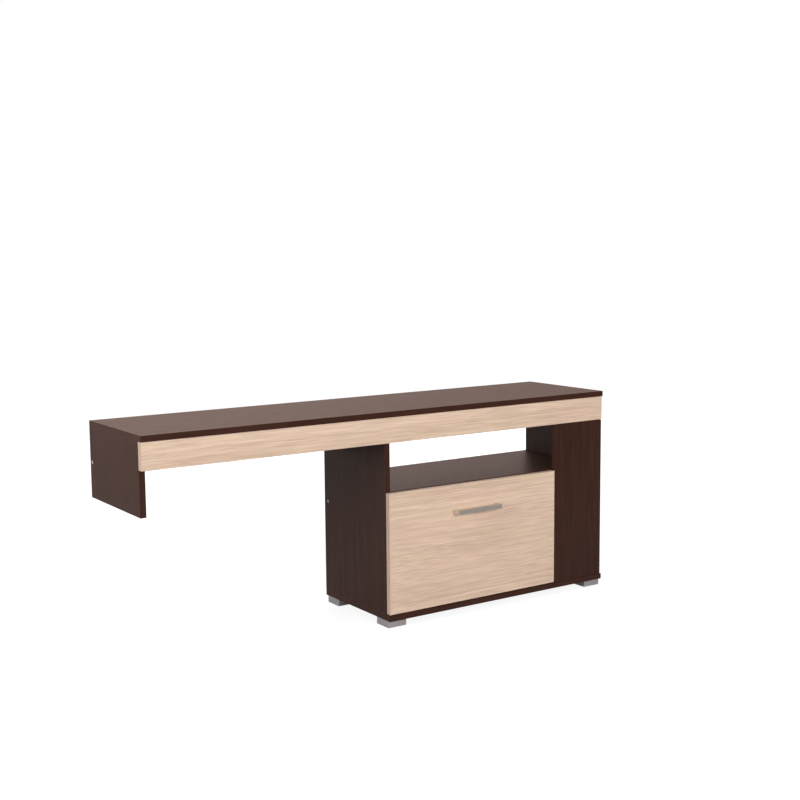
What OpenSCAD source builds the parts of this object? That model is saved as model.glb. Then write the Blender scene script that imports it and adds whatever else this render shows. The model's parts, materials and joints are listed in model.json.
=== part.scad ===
// Low television stand: a long top board that bridges from a short end panel to a cabinet
// on feet. The cabinet has an open niche, a shelf and a drop-down flap beside a fixed front.
// Millimetres. x runs from the left end, y from the front edge of the top board to the back,
// z up from the floor; in_frame() then moves the origin to the middle of the footprint.

/* [Stand] */
// Width of the top board
stand_w = 1500; // [1300:10:1800]
// Depth of the top board
stand_d = 343; // [320:1:400]
// Height of the top surface above the floor
stand_h = 607; // [570:1:680]
// Thickness of the boards
board_t = 16; // [15:0.5:19]

/* [Cabinet] */
// Width across the cabinet's two sides
cabinet_w = 785; // [700:5:860]
// Overhang of the top and bottom boards past the cabinet's right side
side_overhang = 3; // [0:1:10]
// Clear height from the shelf to the top board
niche_h = 209; // [170:1:240]
// Height of the short panel under the left end
end_panel_h = 189; // [150:1:260]

/* [Fronts] */
// Height of the front rail
rail_h = 71; // [50:1:90]
// Setback of the rail and the fixed front from the top board's front edge
front_setback = 1.5; // [0:0.5:6]
// Width of the fixed front panel
side_front_w = 184; // [140:1:240]
// Gap between the flap and the fixed front
front_gap = 3; // [2:0.5:5]
// Reveal from the outer faces of the cabinet's sides to the fronts
edge_reveal = 1.5; // [1:0.5:4]
// Gap between the rail and the fixed front
rail_gap = 1.5; // [1:0.5:4]
// Gap between the closed flap and the cabinet's front edges
door_gap = 1; // [0.9:0.1:1.5]
// Drop of the flap's upper edge below the shelf's top face
flap_drop = 2; // [0:0.5:6]
// Gap under the flap
flap_lift = 2.5; // [2:0.5:4]

/* [Back] */
// Height of the stretcher under the bridge
bridge_stretcher_h = 120; // [110:1:140]
// Distance from the bridge stretcher to the back edge
bridge_stretcher_inset = 5; // [2:0.5:12]
// Height of the cabinet's rear stretcher
cabinet_stretcher_h = 100; // [80:1:140]
// Thickness of the back panel
back_t = 3; // [2.5:0.5:4]
// Distance from the back panel's groove to the back edge
groove_inset = 7; // [6:0.5:12]
// Depth of the groove
groove_depth = 6; // [4:0.5:8]

/* [Feet] */
// Height of the feet
foot_h = 20; // [15:1:40]
// Side of the square feet
foot_w = 60; // [50:1:80]
// Wall of a foot
foot_wall = 3; // [2:0.5:5]
// Inset of the feet from the ends of the bottom board
foot_inset_x = 1; // [0:0.5:30]
// Inset of the feet from the front and back edges
foot_inset_y = 9; // [0:0.5:30]

/* [Handle] */
// Length of the handle
handle_l = 158; // [150:1:220]
// Height of the handle at its middle
handle_h = 14.5; // [12:0.5:22]
// Distance that the handle stands out from the flap
handle_reach = 26; // [18:1:35]
// Thickness of the grip bar
grip_t = 6; // [4:0.5:8]
// Length of each foot of the handle along the flap
handle_post = 12; // [10:0.5:18]
// Taper of the handle's upper and lower edges from the middle to the ends
handle_bow = 1; // [0.5:0.1:2]
// Radius of the handle's outer corners
handle_corner = 6; // [2:0.5:6]
// Distance from the flap's upper edge to the middle of the handle
handle_drop = 76; // [40:1:140]

/* [Hinges] */
// Diameter of the hinge cup
cup_d = 35; // [26:0.5:35]
// Depth of the hinge cup
cup_depth = 11.5; // [11:0.1:12]
// Distance from the flap's lower edge to the cup
cup_edge = 4.5; // [4:0.5:6]
// Distance from the flap's ends to the hinges
hinge_inset = 100; // [70:1:160]
// Distance from the bottom board's front edge to the plate screws
plate_line = 37; // [35:1:42]

/* [Flap stay] */
// Distance from the flap's back face to the pivot on the flap
flap_pivot_back = 8; // [8:0.5:14]
// Height of that pivot above the flap's hinge axis
flap_pivot_up = 170; // [120:1:200]
// Distance from the hinge axis back to the pivot on the cabinet
side_pivot_back = 150; // [120:1:170]
// Height of that pivot above the hinge axis
side_pivot_up = 14; // [12:1:30]
// Width of the stay's links
link_w = 13; // [12:0.5:14]
// Thickness of the links and their brackets
link_t = 2; // [1.5:0.5:3]
// Diameter of the rivets
rivet_d = 5; // [4:0.5:6]

/* [Fittings] */
// Distance from a panel's front or back edge to its cam fittings
fitting_inset = 50; // [44:1:80]
// Distance from a cam fitting to the dowel beside it
dowel_step = 32; // [24:1:40]
// Diameter of a cam
cam_d = 15; // [12:0.5:15]
// Depth of a cam's bore
cam_depth = 12.5; // [12:0.1:13]
// Distance from the joint to the middle of the cam
cam_reach = 24; // [24:1:34]
// Diameter of the dowels
dowel_d = 8; // [6:0.5:8]
// Length of the dowels
dowel_l = 30; // [25:1:32]
// Length of the stretcher screws
stretcher_screw_l = 50; // [40:1:60]
// Diameter of the screw caps
cap_d = 10; // [9.5:0.1:12]

/* [Hidden] */
$fn = 48;

wenge = "#3b2a25";
oak = "#dcc3a9";
hdf = "#d9d4ca";
silver = "#a3a09c";
steel = "#b9bcc0";
zinc = "#8f9296";
beech = "#cfa878";
cap_grey = "#b4aca6";
moulding = "#e9e6df";

// Clearances: turned parts in their bores, links in a stack, a cut past a surface
fit = 0.05;
stack_gap = 0.4;
head_gap = 0.15;
past = 1;

// Levels above the floor
top_z = stand_h - board_t;
floor_z = foot_h + board_t;
shelf_top = top_z - niche_h;
shelf_z = shelf_top - board_t;
rail_z = top_z - rail_h;
side_h = top_z - floor_z;

// Lines across the stand
cab_x = stand_w - side_overhang - cabinet_w;
cab_end = cab_x + cabinet_w;
inner_l = cab_x + board_t;
inner_r = cab_end - board_t;
fixed_x = cab_end - edge_reveal - side_front_w;
flap_x = cab_x + edge_reveal;
flap_end = fixed_x - front_gap;
flap_w = flap_end - flap_x;
partition_x = (flap_end + fixed_x - board_t) / 2;

// Lines from front to back
carcass_y = front_setback + board_t;
panel_d = stand_d - carcass_y;
groove_play = 0.2;
groove_w = back_t + groove_play;
groove_y = stand_d - groove_inset - groove_w;
bridge_stretcher_y = stand_d - bridge_stretcher_inset - board_t;
cabinet_stretcher_y = groove_y - board_t;

// Flap: its hinge axis is its lower front edge
flap_y = carcass_y - door_gap - board_t;
flap_z = floor_z + flap_lift;
flap_h = shelf_top - flap_drop - flap_z;
flap_back_y = flap_y + board_t;
flap_mid = flap_x + flap_w / 2;

module in_frame() {
    translate([-stand_w / 2, (handle_reach - flap_y - stand_d) / 2, 0])
        children();
}

// A spot is [point, turn]. On a screw's spot local +Z points out of the head
module at(spot) {
    translate(spot[0])
        rotate(spot[1])
            children();
}
out_up = [0, 0, 0];
out_down = [180, 0, 0];
out_left = [0, -90, 0];
out_right = [0, 90, 0];
out_front = [90, 0, 0];
out_back = [-90, 0, 0];

// A board with holes and grooves cut from it
module board(corner, size) {
    difference() {
        translate(corner)
            cube(size);
        children();
    }
}

// ---- Cam fittings and dowels ----
// On a fitting's spot local +Z leads from the panel with the cam into the board with the bolt,
// and local +Y points to the face that the cam is turned from. side is 1 for +X and -1 for -X
function up_to(side) = [0, 0, -90 * side];
function down_to(side) = [180, 0, 90 * side];
function front_to(side) = [90, 90 * side, 0];
function end_to(side) = [-90, 0, -90 * side];
front_below = [90, 180, 0];

thread_d = 5;
thread_l = 11;
bolt_bore_d = 8;
bolt_head_d = 6;
bolt_neck_d = 3.6;
cam_clear = 0.4;
hook_turn = 60;
dowel_in_face = 10.5;
dowel_play = 0.5;
recess_w = 1.6;
recess_d = 2;

fitting_ys = [carcass_y + fitting_inset, stand_d - fitting_inset];
dowel_ys = [fitting_ys[0] + dowel_step, fitting_ys[1] - dowel_step];
function row(x, z, ys, turn) = [for (y = ys) [[x, y, z], turn]];

end_mid = board_t / 2;
left_mid = cab_x + board_t / 2;
right_mid = cab_end - board_t / 2;
partition_mid = partition_x + board_t / 2;
shelf_mid = shelf_z + board_t / 2;
rail_mid = rail_z + rail_h / 2;

end_top_cams = row(end_mid, top_z, fitting_ys, up_to(1));
left_top_cams = row(left_mid, top_z, fitting_ys, up_to(1));
right_top_cams = row(right_mid, top_z, fitting_ys, up_to(-1));
left_base_cams = row(left_mid, floor_z, fitting_ys, down_to(1));
right_base_cams = row(right_mid, floor_z, fitting_ys, down_to(-1));
partition_base_cams = row(partition_mid, floor_z, fitting_ys, down_to(1));
partition_top_cams = row(partition_mid, shelf_z, fitting_ys, up_to(1));
shelf_left_cams = row(inner_l, shelf_mid, fitting_ys, end_to(-1));
shelf_right_cams = row(inner_r, shelf_mid, fitting_ys, end_to(1));
end_rail_cam = [[[end_mid, carcass_y, rail_mid], front_to(1)]];
left_rail_cam = [[[left_mid, carcass_y, rail_mid], front_to(1)]];
right_rail_cam = [[[right_mid, carcass_y, rail_mid], front_to(-1)]];

fixed_cam_inset = 70;
fixed_cam_zs = [floor_z + fixed_cam_inset, rail_z - fixed_cam_inset];
fixed_side_cams = [for (z = fixed_cam_zs) [[right_mid, carcass_y, z], front_to(-1)]];
fixed_shelf_inset = 36;
fixed_shelf_xs = [fixed_x + fixed_shelf_inset, inner_r - fixed_shelf_inset];
fixed_shelf_cams = [for (x = fixed_shelf_xs) [[x, carcass_y, shelf_mid], front_below]];

all_cams = concat(
    end_top_cams, left_top_cams, right_top_cams, left_base_cams, right_base_cams,
    partition_base_cams, partition_top_cams, shelf_left_cams, shelf_right_cams,
    end_rail_cam, left_rail_cam, right_rail_cam, fixed_side_cams, fixed_shelf_cams
);

end_top_dowels = row(end_mid, top_z, dowel_ys, up_to(1));
left_top_dowels = row(left_mid, top_z, dowel_ys, up_to(1));
right_top_dowels = row(right_mid, top_z, dowel_ys, up_to(1));
left_base_dowels = row(left_mid, floor_z, dowel_ys, down_to(1));
right_base_dowels = row(right_mid, floor_z, dowel_ys, down_to(1));
partition_base_dowels = row(partition_mid, floor_z, dowel_ys, down_to(1));
partition_top_dowels = row(partition_mid, shelf_z, dowel_ys, up_to(1));
shelf_left_dowels = row(inner_l, shelf_mid, dowel_ys, end_to(-1));
shelf_right_dowels = row(inner_r, shelf_mid, dowel_ys, end_to(1));
fixed_mid_y = front_setback + board_t / 2;
fixed_dowels = [for (x = fixed_shelf_xs) [[x, fixed_mid_y, floor_z], down_to(1)]];

bridge_mid_y = bridge_stretcher_y + board_t / 2;
bridge_dowel_drop = 30;
bridge_dowel_z = top_z - bridge_dowel_drop;
bridge_end_dowel = [[[board_t, bridge_mid_y, bridge_dowel_z], end_to(-1)]];
bridge_left_dowel = [[[cab_x, bridge_mid_y, bridge_dowel_z], end_to(1)]];
cabinet_mid_y = cabinet_stretcher_y + board_t / 2;
cabinet_dowel_drop = 25;
cabinet_dowel_z = shelf_z - cabinet_dowel_drop;
cabinet_left_dowel = [[[inner_l, cabinet_mid_y, cabinet_dowel_z], end_to(-1)]];
cabinet_right_dowel = [[[partition_x, cabinet_mid_y, cabinet_dowel_z], end_to(1)]];

all_dowels = concat(
    end_top_dowels, left_top_dowels, right_top_dowels, left_base_dowels, right_base_dowels,
    partition_base_dowels, partition_top_dowels, shelf_left_dowels, shelf_right_dowels,
    fixed_dowels, bridge_end_dowel, bridge_left_dowel, cabinet_left_dowel, cabinet_right_dowel
);

// What a cam fitting takes out of the panel that holds the cam
module cam_bores(spots) {
    for (s = spots)
        at(s) {
            translate([0, board_t / 2 - cam_depth, -cam_reach])
                rotate([-90, 0, 0])
                    cylinder(d = cam_d + 2 * fit, h = cam_depth + past);
            translate([0, 0, -cam_reach])
                cylinder(d = bolt_bore_d, h = cam_reach + past);
        }
}

// What it takes out of the board that holds the bolt's thread
module bolt_bores(spots) {
    for (s = spots)
        at(s)
            translate([0, 0, -past])
                cylinder(d = thread_d + 2 * fit, h = thread_l + past);
}

module dowel_bores(spots) {
    for (s = spots)
        at(s)
            translate([0, 0, dowel_in_face - dowel_l - dowel_play])
                cylinder(d = dowel_d + 2 * fit, h = dowel_l + 2 * dowel_play);
}

// Cross for a screwdriver, cut downwards from z = 0
module cross_recess(span) {
    for (a = [0, 90])
        rotate([0, 0, a])
            translate([-span / 2, -recess_w / 2, -recess_d])
                cube([span, recess_w, recess_d + past]);
}

// Turned lock with a pocket for the bolt's head and a slot that hooks round its neck
module cam_lock() {
    cam_h = cam_depth - cam_clear;
    translate([0, 0, -cam_reach])
        difference() {
            translate([0, board_t / 2 - cam_h, 0])
                rotate([-90, 0, 0])
                    cylinder(d = cam_d, h = cam_h);
            sphere(d = bolt_head_d + 2 * cam_clear);
            cylinder(d = bolt_neck_d + 2 * cam_clear, h = cam_d);
            rotate([0, hook_turn, 0])
                cylinder(d = bolt_neck_d + 2 * cam_clear, h = cam_d);
            translate([0, board_t / 2, 0])
                rotate([-90, 0, 0])
                    cross_recess(cam_d / 2);
        }
}

module cam_bolt() {
    neck_end = cam_d / 2 + cam_clear - cam_reach;
    translate([0, 0, -cam_reach])
        sphere(d = bolt_head_d);
    translate([0, 0, -cam_reach])
        cylinder(d = bolt_neck_d, h = cam_reach);
    translate([0, 0, neck_end])
        cylinder(d = bolt_bore_d - 4 * fit, h = -neck_end);
    translate([0, 0, -past])
        cylinder(d = thread_d, h = thread_l + past - cam_clear);
}

// Dowel with chamfered ends
module dowel() {
    chamfer = 1;
    r = dowel_d / 2;
    translate([0, 0, dowel_in_face - dowel_l])
        rotate_extrude()
            polygon([
                [0, 0], [r - chamfer, 0], [r, chamfer],
                [r, dowel_l - chamfer], [r - chamfer, dowel_l], [0, dowel_l]
            ]);
}

module cam_locks() {
    color(zinc)
        for (s = all_cams)
            at(s)
                cam_lock();
}

module cam_bolts() {
    color(steel)
        for (s = all_cams)
            at(s)
                cam_bolt();
}

module wood_dowels() {
    color(beech)
        for (s = all_dowels)
            at(s)
                dowel();
}

// ---- Screws ----
// A screw's size is [diameter, length]; its head follows from the diameter
fine_screw_d = 3;
screw_d = 3.5;
stout_screw_d = 4;
short_screw_l = 12;
long_screw_l = 14;
tip_play = 0.5;
function head_d(size) = 1.9 * size[0];
function head_h(size) = 0.6 * size[0];

// Round-headed screw: the head's seat at z = 0, the shank downwards
module pan_screw(size) {
    shank_r = size[0] / 2;
    shank_l = size[1];
    dome_step = 22.5;
    dome = [
        for (a = [90 : -dome_step : 0])
            [head_d(size) / 2 * cos(a), head_h(size) * sin(a)]
    ];
    difference() {
        rotate_extrude()
            polygon(concat(dome, [[shank_r, 0], [shank_r, 2 * shank_r - shank_l], [0, -shank_l]]));
        translate([0, 0, head_h(size)])
            cross_recess(head_d(size) / 2);
    }
}

// Countersunk screw, or the hole for it when grown: the head's flat at z = 0
module sunk_screw_form(size, grow) {
    shank_r = size[0] / 2 + grow;
    head_r = head_d(size) / 2 + grow;
    shank_end = -size[1] - grow;
    rim = 0.2;
    rotate_extrude()
        polygon([
            [0, grow], [head_r, grow], [head_r, -rim], [shank_r, shank_r - head_r - rim],
            [shank_r, shank_end + shank_r], [0, shank_end]
        ]);
}

module screw_holes(spots, size) {
    for (s = spots)
        at(s)
            translate([0, 0, -size[1] - tip_play])
                cylinder(d = size[0] + 2 * fit, h = size[1] + tip_play + past);
}

module screws(spots, size) {
    color(steel)
        for (s = spots)
            at(s)
                pan_screw(size);
}

// Long stretcher screw with a sunk head under a cap: z = 0 at the panel's face
screw_head_d = 9;
screw_shank_d = 7;
screw_head_h = 4;
cap_t = 1;
socket_d = 4.4;
socket_h = 3;

module stretcher_screw_form(grow) {
    thread_r = thread_d / 2 + grow;
    shank_r = screw_shank_d / 2 + grow;
    tip_z = -stretcher_screw_l - grow;
    rotate_extrude()
        polygon([
            [0, -cap_t + grow], [screw_head_d / 2 + grow, -cap_t + grow],
            [shank_r, -cap_t - screw_head_h], [shank_r, -board_t], [thread_r, -board_t],
            [thread_r, tip_z + thread_d / 2], [0, tip_z]
        ]);
}

module stretcher_bores(spots) {
    for (s = spots)
        at(s) {
            stretcher_screw_form(fit);
            translate([0, 0, -cap_t])
                cylinder(d = cap_d + 2 * fit, h = cap_t + past);
        }
}

// The screws' heights above the stretchers' lower edges
bridge_screw_up = 26;
cabinet_screw_up = 41;
bridge_screw_z = top_z - bridge_stretcher_h + bridge_screw_up;
cabinet_screw_z = shelf_z - cabinet_stretcher_h + cabinet_screw_up;
end_screw = [[[0, bridge_mid_y, bridge_screw_z], out_left]];
bridge_right_screw = [[[inner_l, bridge_mid_y, bridge_screw_z], out_right]];
cabinet_left_screw = [[[cab_x, cabinet_mid_y, cabinet_screw_z], out_left]];
partition_end = partition_x + board_t;
cabinet_right_screw = [[[partition_end, cabinet_mid_y, cabinet_screw_z], out_right]];
all_stretcher_screws = concat(
    end_screw, bridge_right_screw, cabinet_left_screw, cabinet_right_screw
);

module stretcher_screws() {
    color(steel)
        for (s = all_stretcher_screws)
            at(s)
                difference() {
                    stretcher_screw_form(0);
                    translate([0, 0, -cap_t - socket_h])
                        cylinder(d = socket_d, h = socket_h + past, $fn = 6);
                }
}

// Flush plastic cap with a peg in the screw's socket
module screw_caps() {
    peg_d = 3.2;
    color(cap_grey)
        for (s = all_stretcher_screws)
            at(s) {
                translate([0, 0, -cap_t])
                    cylinder(d = cap_d, h = cap_t);
                translate([0, 0, -cap_t - socket_h / 2])
                    cylinder(d = peg_d, h = socket_h / 2 + cap_t / 2);
            }
}

// ---- Hinges: positions that the boards need ----
hinge_xs = [flap_x + hinge_inset, flap_end - hinge_inset];
cup_z = cup_edge + cup_d / 2;
cup_screw = [screw_d, short_screw_l];
cup_screw_span = 48;
cup_screw_up = 6;
cup_flange_t = 0.8;
cup_play = 0.2;
plate_screw = [stout_screw_d, short_screw_l];
plate_screw_span = 32;
plate_t = 3;

// From the hinge axis: y back from the flap's front face, z up from its lower edge
module at_axis(x) {
    translate([x, flap_y, flap_z])
        children();
}
cup_seat_y = flap_back_y + cup_flange_t;
cup_screw_z = flap_z + cup_z + cup_screw_up;
cup_screw_spots = [
    for (x = hinge_xs)
        for (side = [-1, 1])
            [[x + side * cup_screw_span / 2, cup_seat_y, cup_screw_z], out_back]
];
plate_screw_spots = [
    for (x = hinge_xs)
        for (side = [-1, 1])
            [[x + side * plate_screw_span / 2, plate_line, floor_z + plate_t], out_up]
];

// ---- Stay: positions that the boards need ----
// The links are as long as the sides that face them, so the stay folds as a parallelogram
flap_pivot = [board_t + flap_pivot_back, flap_pivot_up];
side_pivot = [side_pivot_back, side_pivot_up];
elbow = flap_pivot + side_pivot;
lower_x = link_t + stack_gap;
upper_x = lower_x + link_t + stack_gap;
ear_x = upper_x + link_t + stack_gap;
stay_screw = [screw_d, short_screw_l];
bracket_screw_steps = [18, 34];
bracket_screw_spots = [
    for (step = bracket_screw_steps)
        [[inner_l + link_t, flap_y + side_pivot[0] + step, flap_z + side_pivot[1]], out_right]
];
door_bracket_w = 24;
door_bracket_h = 40;
door_screw_x = inner_l + ear_x + door_bracket_w / 2 + link_t;
door_screw_step = 12;
door_screw_spots = [
    for (side = [-1, 1])
        [[door_screw_x, flap_back_y + link_t, flap_z + flap_pivot[1] + side * door_screw_step],
         out_back]
];

// ---- Catch, handle, feet and rail blocks: positions that the boards need ----
catch_w = 52;
catch_d = 15;
catch_h = 13;
catch_screw = [fine_screw_d, long_screw_l];
catch_screw_in = 5;
catch_flange_t = 3;
catch_screw_step = catch_w / 2 - catch_screw_in;
catch_screw_spots = [
    for (side = [-1, 1])
        [[flap_mid + side * catch_screw_step, carcass_y + catch_d / 2, shelf_z - catch_flange_t],
         out_down]
];
strike_t = 0.8;
strike_w = 36;
strike_h = 12;
strike_z = shelf_z - catch_h / 2;
strike_screw_size = [fine_screw_d, short_screw_l];
strike_sink = 0.1;
strike_spots = [[[flap_mid, flap_back_y + strike_t - strike_sink, strike_z], out_back]];

// The handle's screws, from its ends and into its feet
handle_screw_in = 7;
handle_bite = 8;
handle_z = flap_z + flap_h - handle_drop;
handle_screw = [stout_screw_d, board_t + handle_bite];
handle_spots = [
    for (side = [-1, 1])
        [[flap_mid + side * (handle_l / 2 - handle_screw_in), flap_back_y, handle_z], out_back]
];

foot_screw_l = 16;
foot_screw = [stout_screw_d, foot_screw_l];
foot_head_play = 0.6;
foot_floor = 4;
foot_screw_step = 16;
foot_left_x = cab_x + foot_inset_x;
foot_right_x = stand_w - foot_inset_x - foot_w;
foot_rear_y = stand_d - foot_inset_y - foot_w;
foot_corners = [
    [foot_left_x, foot_inset_y], [foot_right_x, foot_inset_y],
    [foot_left_x, foot_rear_y], [foot_right_x, foot_rear_y]
];
foot_seat_z = foot_h - foot_floor;
foot_screw_spots = [
    for (corner = foot_corners)
        for (x = [foot_w / 2 - foot_screw_step, foot_w / 2 + foot_screw_step])
            [[corner[0] + x, corner[1] + foot_w / 2, foot_seat_z], out_down]
];

block_leg = 24;
block_t = 4;
block_w = 26;
block_screw = [screw_d, long_screw_l];
block_screw_in = 14.5;
block_xs = [cab_x / 3, cab_x * 2 / 3, (inner_l + inner_r) / 2];
block_screw_spots = [
    for (x = block_xs)
        for (up = [0, 1])
            up == 1
                ? [[x, carcass_y + block_screw_in, top_z - block_t], out_down]
                : [[x, carcass_y + block_t, top_z - block_screw_in], out_back]
];

// ---- Boards ----
module top_board() {
    color(wenge)
        board([0, 0, top_z], [stand_w, stand_d, board_t]) {
            bolt_bores(concat(end_top_cams, left_top_cams, right_top_cams));
            dowel_bores(concat(end_top_dowels, left_top_dowels, right_top_dowels));
            screw_holes(block_screw_spots, block_screw);
        }
}

module front_rail() {
    color(oak)
        board([0, front_setback, rail_z], [stand_w - side_overhang, board_t, rail_h]) {
            bolt_bores(concat(end_rail_cam, left_rail_cam, right_rail_cam));
            screw_holes(block_screw_spots, block_screw);
        }
}

module left_end_panel() {
    color(wenge)
        board([0, carcass_y, top_z - end_panel_h], [board_t, panel_d, end_panel_h]) {
            cam_bores(concat(end_top_cams, end_rail_cam));
            dowel_bores(concat(end_top_dowels, bridge_end_dowel));
            stretcher_bores(end_screw);
        }
}

// The groove for the back panel, open at both ends of the lower compartment
module back_groove() {
    groove_l = inner_r - inner_l + 2 * groove_depth;
    groove_h = shelf_z - floor_z + 2 * groove_depth;
    translate([inner_l - groove_depth, groove_y, floor_z - groove_depth])
        cube([groove_l, groove_w, groove_h]);
}

module cabinet_left_side() {
    color(wenge)
        board([cab_x, carcass_y, floor_z], [board_t, panel_d, side_h]) {
            cam_bores(concat(left_top_cams, left_base_cams, left_rail_cam));
            bolt_bores(shelf_left_cams);
            dowel_bores(concat(left_top_dowels, left_base_dowels, shelf_left_dowels));
            dowel_bores(concat(bridge_left_dowel, cabinet_left_dowel));
            stretcher_bores(concat(bridge_right_screw, cabinet_left_screw));
            screw_holes(bracket_screw_spots, stay_screw);
            back_groove();
        }
}

module cabinet_right_side() {
    color(wenge)
        board([inner_r, carcass_y, floor_z], [board_t, panel_d, side_h]) {
            cam_bores(concat(right_top_cams, right_base_cams, right_rail_cam, fixed_side_cams));
            bolt_bores(shelf_right_cams);
            dowel_bores(concat(right_top_dowels, right_base_dowels, shelf_right_dowels));
            back_groove();
        }
}

module bottom_board() {
    color(wenge)
        board([cab_x, 0, foot_h], [stand_w - cab_x, stand_d, board_t]) {
            bolt_bores(concat(left_base_cams, right_base_cams, partition_base_cams));
            dowel_bores(concat(left_base_dowels, right_base_dowels));
            dowel_bores(concat(partition_base_dowels, fixed_dowels));
            screw_holes(plate_screw_spots, plate_screw);
            screw_holes(foot_screw_spots, foot_screw);
            back_groove();
        }
}

module niche_shelf() {
    color(wenge)
        board([inner_l, carcass_y, shelf_z], [inner_r - inner_l, panel_d, board_t]) {
            cam_bores(concat(shelf_left_cams, shelf_right_cams, fixed_shelf_cams));
            bolt_bores(partition_top_cams);
            dowel_bores(concat(shelf_left_dowels, shelf_right_dowels, partition_top_dowels));
            screw_holes(catch_screw_spots, catch_screw);
            back_groove();
        }
}

module lower_partition() {
    color(wenge)
        board([partition_x, carcass_y, floor_z], [board_t, groove_y - carcass_y, shelf_z - floor_z]) {
            cam_bores(concat(partition_base_cams, partition_top_cams));
            dowel_bores(concat(partition_base_dowels, partition_top_dowels, cabinet_right_dowel));
            stretcher_bores(cabinet_right_screw);
        }
}

module side_front_panel() {
    fixed_h = rail_z - rail_gap - floor_z;
    color(wenge)
        board([fixed_x, front_setback, floor_z], [side_front_w, board_t, fixed_h]) {
            bolt_bores(concat(fixed_side_cams, fixed_shelf_cams));
            dowel_bores(fixed_dowels);
        }
}

module bridge_stretcher() {
    color(wenge)
        board(
            [board_t, bridge_stretcher_y, top_z - bridge_stretcher_h],
            [cab_x - board_t, board_t, bridge_stretcher_h]
        ) {
            dowel_bores(concat(bridge_end_dowel, bridge_left_dowel));
            stretcher_bores(concat(end_screw, bridge_right_screw));
        }
}

module cabinet_stretcher() {
    color(wenge)
        board(
            [inner_l, cabinet_stretcher_y, shelf_z - cabinet_stretcher_h],
            [partition_x - inner_l, board_t, cabinet_stretcher_h]
        ) {
            dowel_bores(concat(cabinet_left_dowel, cabinet_right_dowel));
            stretcher_bores(concat(cabinet_left_screw, cabinet_right_screw));
        }
}

module back_panel() {
    play = 0.5;
    reach = groove_depth - play;
    color(hdf)
        translate([inner_l - reach, groove_y, floor_z - reach])
            cube([inner_r - inner_l + 2 * reach, back_t, shelf_z - floor_z + 2 * reach]);
}

// ---- Feet ----
// Moulded foot, open below, with a chamfered outline, ribs and two screw bosses
module foot(corner) {
    chamfer = 1;
    w = foot_w;
    boss_d = 13;
    rib_t = 2;
    outline = [
        [chamfer, 0], [w - chamfer, 0], [w, chamfer], [w, w - chamfer],
        [w - chamfer, w], [chamfer, w], [0, w - chamfer], [0, chamfer]
    ];
    color(silver)
        difference() {
            translate([corner[0], corner[1], 0])
                union() {
                    difference() {
                        linear_extrude(foot_h)
                            polygon(outline);
                        translate([foot_wall, foot_wall, -past])
                            cube([w - 2 * foot_wall, w - 2 * foot_wall, foot_h - foot_floor + past]);
                    }
                    translate([w / 2 - rib_t / 2, foot_wall, foot_floor])
                        cube([rib_t, w - 2 * foot_wall, foot_h - 2 * foot_floor]);
                    for (side = [-1, 1])
                        translate([w / 2 + side * foot_screw_step, w / 2, foot_h / 2])
                            cylinder(d = boss_d, h = foot_h / 2 - foot_floor);
                }
            for (s = foot_screw_spots)
                at(s) {
                    translate([0, 0, -foot_floor - past])
                        cylinder(d = foot_screw[0] + 2 * fit, h = foot_h);
                    cylinder(d = head_d(foot_screw) + 2 * foot_head_play, h = foot_h);
                }
        }
}

module foot_front_left() {
    foot(foot_corners[0]);
}

module foot_front_right() {
    foot(foot_corners[1]);
}

module foot_rear_left() {
    foot(foot_corners[2]);
}

module foot_rear_right() {
    foot(foot_corners[3]);
}

module foot_screws() {
    screws(foot_screw_spots, foot_screw);
}

// ---- Rail blocks ----
// Moulded corner block: two screwed legs joined by two triangular cheeks
module rail_block() {
    cheek_t = 2.5;
    translate([-block_w / 2, 0, 0]) {
        translate([0, 0, -block_leg])
            cube([block_w, block_t, block_leg]);
        translate([0, 0, -block_t])
            cube([block_w, block_leg, block_t]);
        for (x = [0, block_w - cheek_t])
            translate([x, 0, 0])
                rotate([90, 0, 90])
                    linear_extrude(cheek_t)
                        polygon([
                            [0, 0], [0, -block_leg], [block_t, -block_leg],
                            [block_leg, -block_t], [block_leg, 0]
                        ]);
    }
}

module rail_blocks() {
    color(moulding)
        difference() {
            for (x = block_xs)
                translate([x, carcass_y, top_z])
                    rail_block();
            screw_holes(block_screw_spots, block_screw);
        }
}

module rail_block_screws() {
    screws(block_screw_spots, block_screw);
}

// ---- Flap ----
module flap_door() {
    color(oak)
        board([flap_x, flap_y, flap_z], [flap_w, board_t, flap_h]) {
            for (x = hinge_xs)
                at_axis(x)
                    translate([0, board_t + past, cup_z])
                        rotate([90, 0, 0])
                            cylinder(d = cup_d + 2 * fit, h = cup_depth + past);
            screw_holes(cup_screw_spots, cup_screw);
            screw_holes(door_screw_spots, stay_screw);
            strike_holes();
            for (s = handle_spots)
                at(s)
                    translate([0, 0, -board_t - past])
                        cylinder(d = handle_screw[0] + 2 * fit, h = board_t + 2 * past);
        }
}

// Bridge of the handle seen from above: a bar with two feet and rounded corners
module handle_bridge() {
    r = handle_corner;
    inner_w = handle_l - 2 * handle_post;
    bay_r = 3;
    depth = handle_reach - grip_t;
    difference() {
        union() {
            translate([-handle_l / 2, -handle_reach + r])
                square([handle_l, handle_reach - r]);
            translate([-handle_l / 2 + r, -handle_reach])
                square([handle_l - 2 * r, r]);
            for (side = [-1, 1])
                translate([side * (handle_l / 2 - r), -handle_reach + r])
                    circle(r);
        }
        translate([-inner_w / 2, -depth + bay_r])
            square([inner_w, depth + past]);
        translate([-inner_w / 2 + bay_r, -depth])
            square([inner_w - 2 * bay_r, depth + past]);
        for (side = [-1, 1])
            translate([side * (inner_w / 2 - bay_r), -depth + bay_r])
                circle(bay_r);
    }
}

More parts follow.
